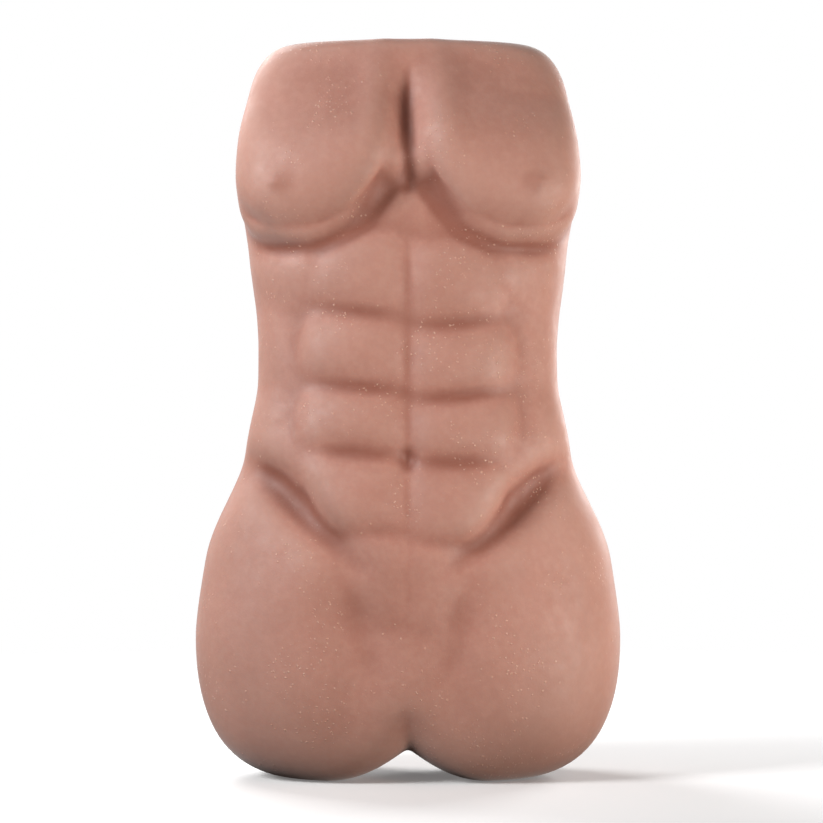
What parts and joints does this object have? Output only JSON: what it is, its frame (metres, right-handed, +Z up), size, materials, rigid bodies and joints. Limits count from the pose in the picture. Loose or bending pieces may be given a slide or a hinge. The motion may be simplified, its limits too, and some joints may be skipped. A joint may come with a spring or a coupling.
{
  "type": "torso mannequin",
  "caption": "Headless, limbless torso form with a muscled chest and a plain smooth pelvis, one soft elastomer body cast round an inferred steel armature, standing on its seat.",
  "frame": {"origin": "on the plane the torso stands on, under the middle of its bounding box", "axes": "+Z up from the seat to the flat top, the chest faces -Y, +X to the right when looking at the chest"},
  "size_m": [0.1976, 0.1168, 0.3401],
  "materials": {
    "body_elastomer": "satin",
    "plug_elastomer": "satin",
    "armature_steel": "satin",
    "cap_plastic": "matte"
  },
  "bodies": {
    "root": {"torso_body": "body_elastomer", "top_plug": "plug_elastomer", "spine_tube": "armature_steel", "shoulder_rod": "armature_steel", "hip_rod": "armature_steel", "hanger_nut": "armature_steel", "tube_bottom_cap": "cap_plastic"}
  },
  "joints": []
}
